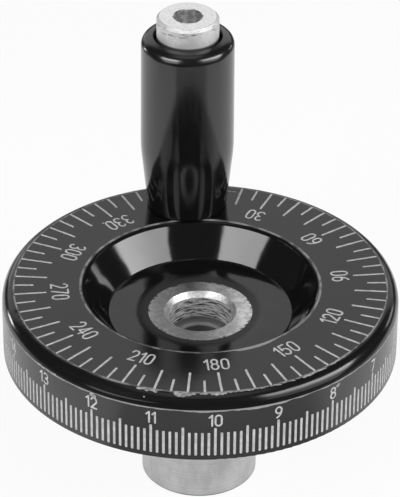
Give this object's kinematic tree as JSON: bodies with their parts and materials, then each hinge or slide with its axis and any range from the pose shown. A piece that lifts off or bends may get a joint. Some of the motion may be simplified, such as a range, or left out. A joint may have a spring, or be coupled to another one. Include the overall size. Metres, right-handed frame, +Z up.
{
  "type": "graduated handwheel",
  "caption": "Black moulded handwheel with a graduated face and rim, a conical recess, a long steel hub with a stepped bore, and a handle that turns on a steel spindle.",
  "frame": {"origin": "middle of the hub's lower seat, on the wheel's axis", "axes": "+Z up the wheel's axis, from the hub's seat to the graduated face; +Y towards the handle; +X to the right, seen from above with the handle away from the viewer"},
  "size_m": [0.1, 0.1011, 0.1115],
  "materials": {
    "black_duroplast": "moulded gloss, finely turned on the graduated face and rim",
    "zinc_steel": "turned and bright zinc plated",
    "bush_brass": "turned",
    "scale_white": "white filler in the engraved lines and numbers"
  },
  "bodies": {
    "wheel": {"wheel_disc": "black_duroplast", "hub": "zinc_steel", "handle_bush": "bush_brass", "handle_spindle": "zinc_steel"},
    "grip": {"grip": "black_duroplast"}
  },
  "joints": [
    {"name": "grip_spin", "type": "hinge", "parent": "wheel", "child": "grip", "pos_m": [0, 0.039, 0.08], "axis": [0, 0, 1], "continuous": true}
  ]
}
